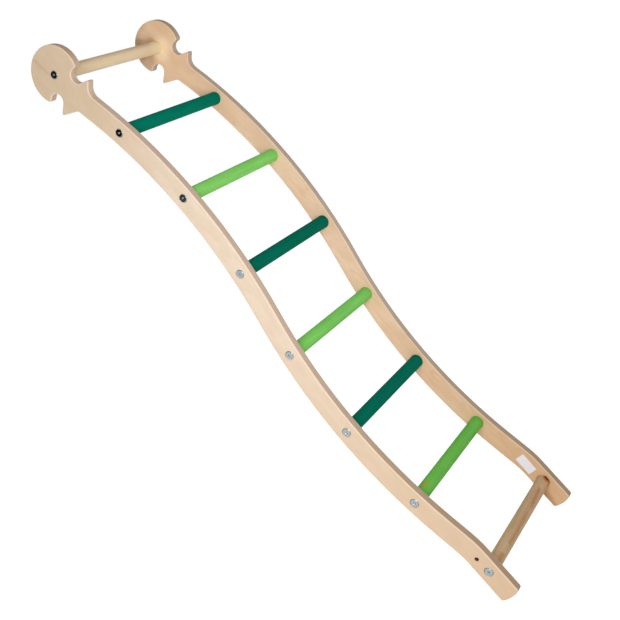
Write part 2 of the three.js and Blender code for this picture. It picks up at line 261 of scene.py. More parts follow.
class LadderColours(bpy.types.PropertyGroup):
    """Colours of the finishes, and of the painted light and shade."""

    left_head: colour_setting("Left Head", "Head of the left rail", (221, 197, 168))
    left_pale: colour_setting("Left Pale", "Middle of the left rail", (234, 215, 193))
    left_foot: colour_setting("Left Foot", "Foot of the left rail", (218, 189, 157))
    right_head: colour_setting("Right Head", "Head of the right rail", (241, 206, 169))
    right_pale: colour_setting("Right Pale", "Middle of the right rail", (243, 211, 179))
    right_foot: colour_setting("Right Foot", "Foot of the right rail", (221, 184, 143))
    left_grain: colour_setting("Left Grain", "Grain lines of the left rail", (206, 172, 136))
    right_grain: colour_setting("Right Grain", "Grain lines of the right rail", (208, 150, 100))
    long_ply: colour_setting("Long Ply", "Plies cut along the grain", (238, 212, 188))
    cross_ply: colour_setting("Cross Ply", "Plies cut across the grain", (196, 164, 138))
    glue: colour_setting("Glue Line", "Lines between the plies", (146, 114, 92))
    ply_head: colour_setting("Head Plies", "Tint of the plies round the heads", (229, 215, 199))
    ply_foot: colour_setting("Foot Plies", "Tint of the plies towards the foot", (207, 194, 173))
    ply_right: colour_setting("Right Plies", "Tint of the right rail's plies", (236, 239, 238))
    # Painted highlight on the rails' rounded edges.
    rim: colour_setting("Rim", "Sanded wood on the rails' rounded edges", (250, 232, 206))
    knot: colour_setting("Knot", "Dark knot in the lowest rung's end", (116, 40, 8))
    knot_halo: colour_setting("Knot Halo", "Orange wood round the knot", (226, 166, 92))
    # Brown for the left head's streak and a patch in the right foot, and painted shade along the
    # top rung's back.
    tinge_and_shade: colour_setting("Tinge", "Brown tinge in the wood", (182, 126, 70))
    # Painted shadow: the top rung's shadow and the shade round its end on the right rail's head.
    painted_head_shadow: colour_setting("Head Shade", "Darker wood in the right head", (168, 128, 102))
    # Painted shade inside the blind hole.
    hole: colour_setting("Hole", "Wood inside the blind hole", (104, 70, 46))
    # Also the painted light beside the top rung's end on the right head.
    top_wood_and_painted_light: colour_setting("Top Rung", "Bare wood of the top rung", (254, 228, 188))
    # Painted light on the top rung's right end.
    top_rung_painted_light: colour_setting("Top Rung End", "Its paler right end", (255, 238, 198))
    low_wood: colour_setting("Low Rung", "Bare wood of the lowest rung", (212, 178, 136))
    low_streak: colour_setting("Low Rung Streak", "Orange streak in it", (178, 116, 56))
    low_mark: colour_setting("Low Rung Mark", "Red wood beside the knot", (196, 92, 60))
    dark_green: colour_setting("Dark Green", "Stain of the upper dark rungs", (0, 137, 111))
    dark_green_low: colour_setting("Low Dark Green", "The same, lower down", (0, 122, 98))
    light_green: colour_setting("Light Green", "Stain of the upper light rungs", (150, 243, 118))
    light_green_low: colour_setting("Low Light Green", "The same, lower down", (112, 204, 78))
    stain_spot: colour_setting("Stain Spot", "Thin place in the stain", (178, 168, 44))
    zinc: colour_setting("Zinc", "Plating of the bolts", (153, 165, 169))
    brass: colour_setting("Brass", "Threaded inserts", (196, 162, 92))
    paper: colour_setting("Paper", "Blank label", (246, 243, 248))


class LadderStage(bpy.types.PropertyGroup):
    """Floor, light and camera."""

    floor: colour_setting("Floor", "Colour of the floor", (235, 235, 235))
    floor_drop: length_setting("Floor Gap", "Gap between foot and floor", 0.001)
    floor_size: length_setting("Floor Size", "Width of the floor", 60.0)
    floor_lift: FloatProperty(
        name="Floor Lift", description="Added brightness of the floor to the eye", default=0.75
    )
    card: colour_setting("Cards", "Dark cards that the bolts mirror", (30, 28, 27))
    world: FloatProperty(name="Surroundings", description="Even light from all round", default=0.33)
    key_power: FloatProperty(name="Key", description="Lamp beside the camera", default=26.0)
    back_power: FloatProperty(name="Back", description="Lamp behind the ladder", default=8.0)
    camera_place: FloatVectorProperty(
        name="Camera Place",
        description="Where the camera stands",
        default=(1.40612, -1.76745, 0.48249),
        subtype="TRANSLATION",
    )
    camera_turn: FloatVectorProperty(
        name="Camera Turn",
        description="How the camera is turned",
        default=tuple(math.radians(a) for a in (69.24865, -0.0569, 28.79998)),
        subtype="EULER",
    )
    focal_length: FloatProperty(name="Focal Length", description="In millimetres", default=62.17)
    camera_shift: FloatVectorProperty(
        name="Camera Shift",
        description="Shift of the picture to the side and upwards",
        default=(0.02494, -0.10444),
        size=2,
    )


# Modelling.


def select_only(piece):
    bpy.ops.object.select_all(action="DESELECT")
    piece.select_set(True)
    bpy.context.view_layer.objects.active = piece


def open_on(piece, kind, wanted):
    """Opens edit mode with those faces or edges selected that wanted() accepts."""
    select_only(piece)
    mesh = piece.data
    for items in (mesh.vertices, mesh.edges, mesh.polygons):
        items.foreach_set("select", [False] * len(items))
    for item in mesh.polygons if kind == "FACE" else mesh.edges:
        item.select = wanted(item)
    bpy.context.tool_settings.mesh_select_mode = (False, kind == "EDGE", kind == "FACE")
    bpy.ops.object.mode_set(mode="EDIT")


def close_edit():
    bpy.ops.object.mode_set(mode="OBJECT")


def settle(piece):
    """Puts a piece's place and turn into its mesh."""
    select_only(piece)
    bpy.ops.object.transform_apply(location=True, rotation=True, scale=True)


def round_bar(name, steps, radius, low, high, axis):
    """A cylinder along y, from low to high, about an axis."""
    bpy.ops.object.select_all(action="DESELECT")
    bpy.ops.mesh.primitive_cylinder_add(
        vertices=steps,
        radius=radius,
        depth=high - low,
        end_fill_type="NGON",
        location=(axis.x, (low + high) / 2, axis.z),
        rotation=(math.pi / 2, 0.0, 0.0),
    )
    bar = bpy.context.object
    bar.name = name
    settle(bar)
    return bar


def joined(pieces):
    bpy.ops.object.select_all(action="DESELECT")
    for piece in pieces:
        piece.select_set(True)
    bpy.context.view_layer.objects.active = pieces[0]
    bpy.ops.object.join()
    return pieces[0]


def cut(piece, cutter):
    """Takes the cutter's form out of the piece and removes the cutter."""
    select_only(piece)
    bpy.ops.object.modifier_add(type="BOOLEAN")
    boolean = piece.modifiers[-1]
    boolean.operation = "DIFFERENCE"
    boolean.solver = "EXACT"
    boolean.object = cutter
    bpy.ops.object.modifier_apply(modifier=boolean.name)
    bpy.data.objects.remove(cutter)


def ring_test(mesh, axes, radius, face):
    """A test for the edges that lie on a round rim about one of the axes, in the plane y = face."""
    near = 0.00006

    def wanted(edge):
        ends = [mesh.vertices[v].co for v in edge.vertices]
        return all(abs(end.y - face) < near for end in ends) and any(
            all(abs(math.hypot(end.x - axis.x, end.z - axis.z) - radius) < near for end in ends)
            for axis in axes
        )

    return wanted


def eased(piece, wanted, offset, segments):
    """Rounds the edges that wanted() accepts."""
    open_on(piece, "EDGE", wanted)
    bpy.ops.mesh.bevel(offset=offset, segments=segments, affect="EDGES")
    close_edit()


def smooth(piece, degrees):
    """Smooths the round stretches and keeps the flat faces flat."""
    select_only(piece)
    bpy.ops.object.shade_smooth_by_angle(angle=math.radians(degrees), keep_sharp_edges=False)
    bpy.ops.object.modifier_add(type="WEIGHTED_NORMAL")
    weighted = piece.modifiers[-1]
    weighted.keep_sharp = True
    weighted.weight = 100
    bpy.ops.object.modifier_apply(modifier=weighted.name)


def twin(piece, name, change):
    """A copy with its own mesh, moved or turned by a matrix."""
    made = piece.copy()
    made.data = piece.data.copy()
    made.name = name
    made.data.name = name
    made.data.transform(change)
    bpy.context.collection.objects.link(made)
    return made


def finished(piece, node, slot, material):
    """Gives a piece its finish and lets it stand for its node."""
    piece.data.materials.clear()
    piece.data.materials.append(material)
    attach(piece, "root")
    if node:
        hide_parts(node)


# Finishes.


class Shade:
    """Adds nodes to a tree, each set and joined in one call, and hands back an output."""

    def __init__(self, tree):
        self.tree = tree

    def fill(self, node, sockets):
        for name, value in sockets.items():
            if isinstance(value, bpy.types.NodeSocket):
                self.tree.links.new(value, node.inputs[name])
            else:
                node.inputs[name].default_value = value

    def put(self, kind, sockets, output=0, **settings):
        made = self.tree.nodes.new("ShaderNode" + kind)
        for name, value in settings.items():
            setattr(made, name, value)
        self.fill(made, sockets)
        return made.outputs[output]

    def place(self):
        """The object coordinates, which are the piece's place in metres."""
        return self.put("TexCoord", {}, output="Object")

    def math(self, operation, first, second=0.0):
        return self.put("Math", {0: first, 1: second}, operation=operation)

    def add(self, first, second):
        return self.math("ADD", first, second)

    def times(self, first, second):
        return self.math("MULTIPLY", first, second)

    def step(self, value, low, high, start=0.0, end=1.0):
        """A smooth step from start to end as the value goes from low to high."""
        limits = {"Value": value, "From Min": low, "From Max": high, "To Min": start, "To Max": end}
        return self.put("MapRange", limits, interpolation_type="SMOOTHSTEP")

    def mix(self, factor, first, second, blend="MIX"):
        first, second = (
            c if isinstance(c, bpy.types.NodeSocket) else (*c, 1.0) for c in (first, second)
        )
        sockets = {0: factor, 6: first, 7: second}
        return self.put("Mix", sockets, output=2, data_type="RGBA", blend_type=blend)

    def vector(self, operation, first, second, output=0):
        return self.put("VectorMath", {0: first, 1: second}, output, operation=operation)

    def noise(self, vector, scale, detail, distortion=0.0):
        sockets = {"Vector": vector, "Scale": scale, "Detail": detail, "Distortion": distortion}
        return self.put("TexNoise", sockets)

    def stretch(self, vector, x, y, z):
        """The vector measured in steps of x, y and z metres."""
        return self.vector("MULTIPLY", vector, (1 / x, 1 / y, 1 / z))

    def axes(self, vector):
        node = self.tree.nodes.new("ShaderNodeSeparateXYZ")
        self.tree.links.new(vector, node.inputs[0])
        return node.outputs

    def group(self, tree, sockets):
        node = self.tree.nodes.new("ShaderNodeGroup")
        node.node_tree = tree
        self.fill(node, sockets)
        return node.outputs


def new_group(name, inputs, outputs):
    """A node group with its sockets, a shade for it, its inputs and its end."""
    tree = bpy.data.node_groups.new(name, "ShaderNodeTree")
    for label, kind in inputs.items():
        tree.interface.new_socket(name=label, in_out="INPUT", socket_type="NodeSocket" + kind)
    for label, kind in outputs.items():
        tree.interface.new_socket(name=label, in_out="OUTPUT", socket_type="NodeSocket" + kind)
    start = tree.nodes.new("NodeGroupInput").outputs
    end = tree.nodes.new("NodeGroupOutput").inputs
    return tree, Shade(tree), start, end


def wood_grain():
    """Grain that runs along x of the vector: fine streaks, broad figure and clouds, all 0 to 1."""
    name = "Wood Grain"
    if name in bpy.data.node_groups:
        return bpy.data.node_groups[name]
    outputs = {"Streaks": "Float", "Figure": "Float", "Clouds": "Float"}
    tree, shade, start, end = new_group(name, {"Vector": "Vector"}, outputs)
    vector = start["Vector"]
    streaks = shade.noise(shade.stretch(vector, *STREAK_SIZE), 1.0, detail=3.0)
    field = shade.noise(shade.stretch(vector, *FIGURE_SIZE), 1.0, detail=2.0, distortion=0.4)
    wave = shade.math("SINE", shade.times(field, FIGURE_RINGS))
    clouds = shade.noise(shade.stretch(vector, *CLOUD_SIZE), 1.0, detail=3.0)
    tree.links.new(shade.step(streaks, *STREAK_RANGE), end["Streaks"])
    tree.links.new(shade.step(wave, *FIGURE_RANGE), end["Figure"])
    tree.links.new(shade.step(clouds, *CLOUD_RANGE), end["Clouds"])
    return tree


def handling():
    """Roughness that varies a little where hands have polished a surface."""
    name = "Handling"
    if name in bpy.data.node_groups:
        return bpy.data.node_groups[name]
    inputs = {"Vector": "Vector", "Roughness": "Float", "Spread": "Float"}
    tree, shade, start, end = new_group(name, inputs, {"Roughness": "Float"})
    patches = shade.noise(start["Vector"], POLISH_SCALE, detail=3.0)
    offset = shade.times(shade.add(patches, -0.5), start["Spread"])
    tree.links.new(shade.add(start["Roughness"], offset), end["Roughness"])
    return tree


def stroke():
    """A mark of the wood from one point to another: 1 on its line, 0 beyond its width."""
    name = "Stroke"
    if name in bpy.data.node_groups:
        return bpy.data.node_groups[name]
    inputs = {"Vector": "Vector", "Start": "Vector", "End": "Vector", "Width": "Float"}
    tree, shade, start, end = new_group(name, inputs, {"Mask": "Float"})
    wander = {"Vector": start["Vector"], "Scale": WANDER_SCALE}
    wander = shade.put("TexNoise", wander, output=1)
    wander = shade.vector("SUBTRACT", wander, (0.5, 0.5, 0.5))
    amount = shade.math("MINIMUM", start["Width"], WANDER_WIDTH_LIMIT)
    wander = shade.vector("MULTIPLY", wander, shade.times(amount, WANDER_SHARE))
    place = shade.vector("ADD", start["Vector"], wander)
    line = shade.vector("SUBTRACT", start["End"], start["Start"])
    reach = shade.vector("SUBTRACT", place, start["Start"])
    share = shade.math(
        "DIVIDE",
        shade.vector("DOT_PRODUCT", reach, line, output=1),
        shade.vector("DOT_PRODUCT", line, line, output=1),
    )
    share = shade.math("MINIMUM", shade.math("MAXIMUM", share, 0.0), 1.0)
    nearest = shade.vector("MULTIPLY", line, share)
    distance = shade.vector("DISTANCE", reach, nearest, output=1)
    share = shade.math("DIVIDE", distance, start["Width"])
    tree.links.new(shade.step(share, *MARK_FADE, 1.0, 0.0), end["Mask"])
    return tree


def new_material(name, metallic=0.0):
    """A material with one principled shader, its shade and that shader."""
    material = bpy.data.materials.new(name)
    material.use_nodes = True
    shade = Shade(material.node_tree)
    surface = material.node_tree.nodes["Principled BSDF"]
    surface.inputs["Metallic"].default_value = metallic
    return material, shade, surface


def dress(shade, surface, base, roughness, height, depth):
    """Joins colour, roughness and a relief of so many metres to the shader."""
    links = shade.tree.links
    links.new(base, surface.inputs["Base Color"])
    links.new(roughness, surface.inputs["Roughness"])
    relief = shade.put("Bump", {"Height": height, "Distance": depth, "Strength": 1.0})
    links.new(relief, surface.inputs["Normal"])


def marked(shade, place, base, marks, streaks):
    """The base with marks, each a tint, a width, a strength and the points that it runs through.

    The grain's streaks thin the marks, so that they look as if they lay in the wood.
    """
    thinned = shade.step(streaks, 0.0, 1.0, 1.0, MARK_THINNEST)
    for tint, width, strength, points in marks:
        mask = 0.0
        for one, other in zip(points, points[1:]):
            line = {"Vector": place, "Start": one, "End": other, "Width": width}
            mask = shade.math("MAXIMUM", shade.group(stroke(), line)["Mask"], mask)
        mask = shade.times(shade.times(mask, strength), thinned)
        base = shade.mix(mask, base, tint)
    return base


def rail_marks(colours, faces):
    """A streak in the left head, painted shadow and painted light round the right head's rung, and
    a darker right foot.
    """
    inner, outer = faces

    def inside(*points):
        return tuple(on_ladder(x, z, inner) for x, z in points)

    streak = (on_ladder(-0.054, -0.0165, -outer), on_ladder(-0.0104, -0.0088, -outer))
    # Painted shadow of the top rung, and painted shade round its end, on the right head's inner
    # face.
    head = inside((-0.010, -0.010), (-0.046, -0.044))
    above = inside((-0.042, -0.032), (-0.018, 0.002))
    corner = inside((-0.052, -0.046), (-0.038, -0.027))
    left = inside((-0.058, 0.012), (-0.052, -0.024))
    below = inside((0.006, -0.036), (0.010, -0.056))
    edge = inside((-0.010, -0.042), (-0.006, -0.060))
    # Painted light: a paler patch beside the top rung's end on the right head.
    pale = inside((0.008, 0.014), (0.018, 0.002))
    # A browner patch on the right foot's inner face, beside the lowest rung's end.
    foot = inside((1.262, 0.046), (1.306, 0.040))
    return (
        (colours.tinge_and_shade, 0.005, 0.28, streak),
        (colours.painted_head_shadow, 0.036, 0.4, head),
        (colours.painted_head_shadow, 0.009, 0.45, above),
        (colours.painted_head_shadow, 0.014, 0.6, corner),
        (colours.painted_head_shadow, 0.010, 0.3, left),
        (colours.painted_head_shadow, 0.024, 0.5, below),
        (colours.painted_head_shadow, 0.010, 0.5, edge),
        (colours.top_wood_and_painted_light, 0.028, 0.9, pale),
        (colours.tinge_and_shade, 0.019, 0.8, foot),
    )


def top_rung_marks(colours):
    """Painted shade in brown along the top rung's back, and painted light on its right end."""
    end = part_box("rail_right")[0].y
    # Painted shade along the top rung's back.
    back = rung_line(TOP_RUNG, (122, -end), (122, end - 0.03))
    # Painted light on the top rung's right end.
    pale = rung_line(TOP_RUNG, (75, end - 0.018), (75, end))
    return ((colours.tinge_and_shade, 0.010, 0.3, back), (colours.top_rung_painted_light, 0.024, 1.0, pale))


def light_rung_marks(colours):
    """A thin place in the stain, near the left end of the lowest light rung."""
    thin = rung_line(LOWEST_LIGHT_RUNG, (132, -0.136), (134, -0.120))
    return ((colours.stain_spot, 0.0065, 0.75, thin),)


def low_rung_marks(colours):
    """An orange streak down the lowest rung, and a dark knot and a dark line at its right end.

    The knot's blot is laid on twice, so that the grain hardly thins it.
    """
    rung = LOWEST_RUNG
    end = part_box("rail_right")[0].y
    red = rung_line(rung, (107, 0.110), (101, 0.087), (91, 0.048))
    orange = rung_line(rung, (95, 0.020), (86, -0.090))
    near = rung_line(rung, (95, -0.130), (86, -0.160))
    blot = rung_line(rung, (113, end - 0.003), (92, end - 0.0045))
    beside = rung_line(rung, (113, end - 0.011), (96, end - 0.013))
    halo = rung_line(rung, (84, end - 0.012), (58, end - 0.017))
    curve = rung_line(
        rung, (70, end - 0.003), (48, end - 0.002), (34, end - 0.005), (27, end - 0.014)
    )
    return (
        (colours.low_streak, 0.008, 0.4, (red[0], orange[1])),
        (colours.low_streak, 0.004, 0.5, orange),
        (colours.low_streak, 0.008, 0.7, near),
        (colours.low_streak, 0.004, 0.9, red),
        (colours.knot_halo, 0.010, 1.0, halo),
        (colours.low_mark, 0.005, 0.8, beside),
        (colours.knot, 0.0045, 1.0, curve),
        (colours.knot, 0.0065, 1.0, blot),
        (colours.knot, 0.0055, 1.0, blot),
    )


def plywood(colours, faces):
    """Birch plywood: figured veneers on the faces and a stack of plies on the edges."""
    material, shade, surface = new_material("Birch Plywood")
    place = shade.place()
    ladder = shade.put(
        "Mapping", {"Vector": place, "Location": tuple(BAR_PLACE), "Rotation": (0.0, -LEAN, 0.0)}
    )
    x, y, z = shade.axes(ladder)[:3]
    far = shade.step(y, *BETWEEN_RAILS)
    slant = shade.times(far, VENEER_SLANT)
    turned = {"Vector": ladder, "Angle": slant}
    turned = shade.put("VectorRotate", turned, rotation_type="Y_AXIS")
    grain = shade.group(wood_grain(), {"Vector": turned})
    outer = shade.math("ABSOLUTE", y)
    depth = shade.math("SUBTRACT", faces[1], outer)
    inner = shade.math("SUBTRACT", outer, faces[0])
    shallow = shade.math("MINIMUM", depth, inner)

    # Faces: the veneer is palest at mid length and warmer at both ends and on the far rail.
    head = shade.step(x, *HEAD_SPAN, 1.0, 0.0)
    foot = shade.step(x, shade.step(far, 0.0, 1.0, *FOOT_STARTS), FOOT_END)
    veneer = shade.mix(far, colours.left_pale, colours.right_pale)
    veneer = shade.mix(head, veneer, shade.mix(far, colours.left_head, colours.right_head))
    veneer = shade.mix(foot, veneer, shade.mix(far, colours.left_foot, colours.right_foot))
    lines = shade.mix(far, colours.left_grain, colours.right_grain)
    strong = shade.times(far, shade.step(x, *FIGURE_SPAN, 0.0, RIGHT_FIGURE_EXTRA))
    figure = shade.times(grain["Figure"], shade.add(strong, FIGURE_STRENGTH))
    veneer = shade.mix(shade.times(grain["Streaks"], STREAK_STRENGTH), veneer, lines)
    veneer = shade.mix(figure, veneer, lines)
    veneer = shade.mix(shade.times(grain["Clouds"], CLOUD_STRENGTH), veneer, lines)
    veneer = marked(shade, place, veneer, rail_marks(colours, faces), grain["Streaks"])

    # Edges: plies with a glue line between each two, darker round the head and towards the foot.
    level = shade.times(depth, PLY_COUNT / (faces[1] - faces[0]))
    odd = shade.math("PINGPONG", shade.add(level, 0.5), 1.0)
    odd = shade.step(odd, *PLY_CHANGE, 1.0, 0.0)
    seam = shade.math("PINGPONG", level, 0.5)
    seam = shade.step(seam, *SEAM_FADE, 1.0, 0.0)
    plies = shade.mix(odd, colours.cross_ply, colours.long_ply)
    plies = shade.mix(shade.times(seam, SEAM_STRENGTH), plies, colours.glue)
    plies = shade.mix(shade.step(x, *PLY_FOOT_SPAN), plies, colours.ply_foot, blend="MULTIPLY")
    crown = shade.step(x, *PLY_HEAD_SPAN, 1.0, 0.0)
    plies = shade.mix(crown, plies, colours.ply_head, blend="MULTIPLY")
    plies = shade.mix(far, plies, colours.ply_right, blend="MULTIPLY")
    # Painted highlight: a paler line on the rounded edges between face and plies, weaker on the
    # right rail.
    rim = shade.step(shallow, *RIM_HIGHLIGHT_DEPTH, 1.0, 0.0)
    rim = shade.times(rim, shade.step(shallow, *SKIN_DEPTH))
    rim = shade.times(rim, shade.step(far, 0.0, 1.0, *RIM_HIGHLIGHT_STRENGTHS))
    veneer = shade.mix(rim, veneer, colours.rim)
    base = shade.mix(shade.step(shallow, *VENEER_DEPTH), veneer, plies)

    # Painted shade: the blind hole is darkened inside, fading in from its mouth.
    across = shade.add(x, -PEG_HOLE_PLACE[0])
    up = shade.add(z, -PEG_HOLE_PLACE[1])
    reach = shade.math("SQRT", shade.add(shade.times(across, across), shade.times(up, up)))
    inside = shade.step(reach, *PEG_HOLE_SHADE_RIM, 1.0, 0.0)
    inside = shade.times(inside, shade.step(depth, 0.0, PEG_HOLE_SHADE_FADE))
    base = shade.mix(inside, base, colours.hole)
    polish = shade.group(handling(), {"Vector": place, "Roughness": 0.58, "Spread": 0.12})
    dress(shade, surface, base, polish["Roughness"], grain["Streaks"], depth=0.00004)
    return material


def turned_wood(name, tint, low_tint, limits, gloss, contrast=1.0, marks=()):
    """A rung's grain under a tint that changes down the ladder, from one limit to the other."""
    material, shade, surface = new_material(name)
    place = shade.place()
    along = shade.put("Mapping", {"Vector": place, "Rotation": (0.0, 0.0, math.pi / 2)})
    grain = shade.group(wood_grain(), {"Vector": along})
    base = shade.mix(shade.step(shade.axes(place)["X"], *limits), tint, low_tint)
    mark = shade.add(
        shade.times(grain["Streaks"], RUNG_STREAK_SHARE),
        shade.times(grain["Clouds"], RUNG_CLOUD_SHARE),
    )
    base = shade.mix(shade.times(mark, contrast), base, GRAIN_SHADE, blend="MULTIPLY")
    base = marked(shade, place, base, marks, grain["Streaks"])
    polish = shade.group(handling(), {"Vector": place, "Roughness": 0.6, "Spread": 0.1})
    dress(shade, surface, base, polish["Roughness"], grain["Streaks"], depth=0.00005)
    surface.inputs["Specular IOR Level"].default_value = gloss
    return material


def metal(name, tint, roughness):
    """Plated or solid metal with a fine speckle."""
    material, shade, surface = new_material(name, metallic=1.0)
    place = shade.place()
    speckle = shade.noise(place, SPECKLE_SCALE, detail=2.0)
    shadow = tuple(SPECKLE_SHADE * c for c in tint)
    base = shade.mix(shade.step(speckle, *SPECKLE_RANGE), tint, shadow)
    polish = shade.group(handling(), {"Vector": place, "Roughness": roughness, "Spread": 0.06})
    dress(shade, surface, base, polish["Roughness"], speckle, depth=0.00001)
    return material


def paper(colours):
    material, shade, surface = new_material("Blank Paper")
    place = shade.place()
    fibres = shade.noise(place, FIBRE_SCALE, detail=3.0)
    shadow = tuple(FIBRE_SHADE * c for c in colours.paper)
    base = shade.mix(shade.step(fibres, *FIBRE_RANGE), colours.paper, shadow)
    polish = shade.group(handling(), {"Vector": place, "Roughness": 0.5, "Spread": 0.08})
    dress(shade, surface, base, polish["Roughness"], fibres, depth=0.00002)
    return material


# Pieces.


class LADDER_OT_rails(bpy.types.Operator):
    """Makes the two plywood rails, with round seats, sockets and peg holes"""

    bl_idname = "ladder.rails"
    bl_label = "Plywood Rails"

    def execute(self, context):
        sizes = context.scene.ladder_sizes
        low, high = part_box("rail_right")
        faces = (low.y, high.y)
        material = plywood(context.scene.ladder_colours, faces)
        axes = [rung_axis(number) for number in RUNG_NUMBERS]
        for side, sign in zip(SIDES, (-1, 1)):
            self.make(f"rail_{side}", sign, faces, axes, sizes, material)
        return {"FINISHED"}

    def make(self, node, sign, faces, axes, sizes, material):
        piece = twin(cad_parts[node], f"plywood_{node}", Matrix.Identity(4))
        piece.parent = None
        weld = 0.00001
        flatness = math.radians(0.2)
        open_on(piece, "FACE", lambda face: True)
        bpy.ops.mesh.remove_doubles(threshold=weld)
        bpy.ops.mesh.dissolve_limited(angle_limit=flatness)
        close_edit()

        peg = [on_ladder(*PEG_HOLE_PLACE)]
        inner, outer = faces
        overrun = 0.004
        holes = (
            (axes, sizes.counterbore_diameter, outer - sizes.counterbore_depth, outer + overrun),
            (axes, sizes.socket_diameter, inner - overrun, inner + sizes.socket_depth),
            (peg, sizes.peg_hole_diameter, outer - sizes.peg_hole_depth, outer + overrun),
        )
        cutters = []
        for places, diameter, start, end in holes:
            for axis in places:
                ends = sorted((sign * start, sign * end))
                cutters.append(round_bar("bore", sizes.round_steps, diameter / 2, *ends, axis))
        cut(piece, joined(cutters))
        for places, diameter in (
            (axes, sizes.counterbore_diameter),
            (peg, sizes.peg_hole_diameter),
        ):
            rim = ring_test(piece.data, places, diameter / 2, sign * outer)
            eased(piece, rim, sizes.hole_ease, segments=2)
        smooth(piece, degrees=50)
        finished(piece, node, "plywood", material)


class LADDER_OT_rungs(bpy.types.Operator):
    """Turns one rung with eased ends and bores, and copies it to the eight places"""

    bl_idname = "ladder.rungs"
    bl_label = "Rungs"

    def execute(self, context):
        colours = context.scene.ladder_colours
        dark = turned_wood(
            "Dark Green Stain",
            colours.dark_green,
            colours.dark_green_low,
            DARK_STAIN_SPAN,
            DARK_STAIN_GLOSS,
        )
        light = turned_wood(
            "Light Green Stain",
            colours.light_green,
            colours.light_green_low,
            LIGHT_STAIN_SPAN,
            LIGHT_STAIN_GLOSS,
            marks=light_rung_marks(colours),
        )
        bare = turned_wood(
            "Rung Wood",
            colours.top_wood_and_painted_light,
            colours.top_wood_and_painted_light,
            WHOLE_SPAN,
            BARE_WOOD_GLOSS,
            contrast=0.4,
            marks=top_rung_marks(colours),
        )
        low = turned_wood(
            "Streaked Rung Wood",
            colours.low_wood,
            colours.low_wood,
            WHOLE_SPAN,
            BARE_WOOD_GLOSS,
            marks=low_rung_marks(colours),
        )
        first = self.turn(context.scene.ladder_sizes)
        for number in RUNG_NUMBERS:
            move = rung_axis(number) - rung_axis(TOP_RUNG)
            rung = twin(first, f"turned_rung_{number}", Matrix.Translation(move))
            if number == TOP_RUNG:
                slot, material = "natural_wood", bare
            elif number == LOWEST_RUNG:
                slot, material = "natural_wood", low
            elif number % 2 == 0:
                slot, material = "dark_green", dark
            else:
                slot, material = "light_green", light
            finished(rung, f"rung_{number}", slot, material)
        bpy.data.objects.remove(first)
        return {"FINISHED"}

    def turn(self, sizes):
        low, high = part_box(f"rung_{TOP_RUNG}")
        radius = sizes.rung_diameter / 2
        bar = round_bar("rung", sizes.round_steps, radius, low.y, high.y, rung_axis(TOP_RUNG))
        mesh = bar.data

        def end_rim(edge):
            first, second = (mesh.vertices[v].co for v in edge.vertices)
            return first.y * second.y > 0

        eased(bar, end_rim, sizes.rung_end_ease, segments=3)
        open_on(bar, "FACE", lambda face: abs(face.normal.y) > FACING)
        ring = radius - sizes.rung_end_ease - sizes.rung_bore / 2
        bpy.ops.mesh.inset(thickness=ring, use_individual=True)
        bpy.ops.mesh.extrude_region_shrink_fatten(
            TRANSFORM_OT_shrink_fatten={"value": -sizes.rung_bore_depth}
        )
        close_edit()
        smooth(bar, degrees=40)
        return bar


class LADDER_OT_bolts(bpy.types.Operator):
    """Turns one bolt with a flat head and a hexagon socket, and copies it to sixteen places"""

    bl_idname = "ladder.bolts"
    bl_label = "Connector Bolts"

    def execute(self, context):
        material = metal("Zinc Plate", tuple(context.scene.ladder_colours.zinc), roughness=0.14)
        first = self.turn(context.scene.ladder_sizes)
        to_middle = Matrix.Translation(-rung_axis(TOP_RUNG))
        for side in SIDES:
            turn = Matrix.Rotation(0.0 if side == "left" else math.pi, 4, "Z")
            for number in RUNG_NUMBERS:
                place = Matrix.Translation(rung_axis(number))
                bolt = twin(first, f"zinc_bolt_{side}_{number}", place @ turn @ to_middle)
                finished(bolt, f"bolt_{side}_{number}", "zinc", material)
        bpy.data.objects.remove(first)
        return {"FINISHED"}

    def turn(self, sizes):
        axis = rung_axis(TOP_RUNG)
        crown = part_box("rail_left")[0].y + sizes.bolt_recess
        seat = crown + sizes.bolt_head_thickness
        bolt = round_bar("bolt", sizes.round_steps, sizes.bolt_head / 2, crown, seat, axis)
        rim = ring_test(bolt.data, [axis], sizes.bolt_head / 2, crown)
        eased(bolt, rim, sizes.bolt_head_ease, segments=4)
        open_on(bolt, "FACE", lambda face: face.normal.y > FACING)
        bpy.ops.mesh.inset(thickness=(sizes.bolt_head - sizes.bolt_shank) / 2)
        bpy.ops.mesh.extrude_region_move(
            TRANSFORM_OT_translate={"value": (0.0, sizes.bolt_length, 0.0)}
        )
        close_edit()
        tip = ring_test(bolt.data, [axis], sizes.bolt_shank / 2, seat + sizes.bolt_length)
        eased(bolt, tip, sizes.bolt_tip_ease, segments=1)

        corners = 6
        socket = sizes.hexagon / 2 / math.cos(math.pi / corners)
        overrun = 0.003
        bottom = crown + sizes.hexagon_depth
        hexagon = round_bar("hexagon", corners, socket, crown - overrun, bottom, axis)
        open_on(hexagon, "FACE", lambda face: face.normal.y > FACING)
        bpy.ops.mesh.extrude_region_move(
            TRANSFORM_OT_translate={"value": (0.0, sizes.hexagon_cone, 0.0)}
        )
        bpy.ops.mesh.merge(type="CENTER")
        close_edit()
        cut(bolt, hexagon)
        mesh = bolt.data
        near = 0.00001
        reach = 1.1 * socket

        def mouth(edge):
            ends = [mesh.vertices[v].co for v in edge.vertices]
            return all(
                abs(end.y - crown) < near
                and math.hypot(end.x - axis.x, end.z - axis.z) < reach
                for end in ends
            )

        eased(bolt, mouth, sizes.hexagon_ease, segments=1)
        smooth(bolt, degrees=35)
        return bolt


class LADDER_OT_inserts(bpy.types.Operator):
    """Gives the threaded inserts in the rung ends their brass"""

    bl_idname = "ladder.inserts"
    bl_label = "Threaded Inserts"

    def execute(self, context):
        material = metal("Brass", tuple(context.scene.ladder_colours.brass), roughness=0.32)
        for side in SIDES:
            for number in RUNG_NUMBERS:
                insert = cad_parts[f"insert_{side}_{number}"]
                for slot in insert.material_slots:
                    slot.material = material
        return {"FINISHED"}


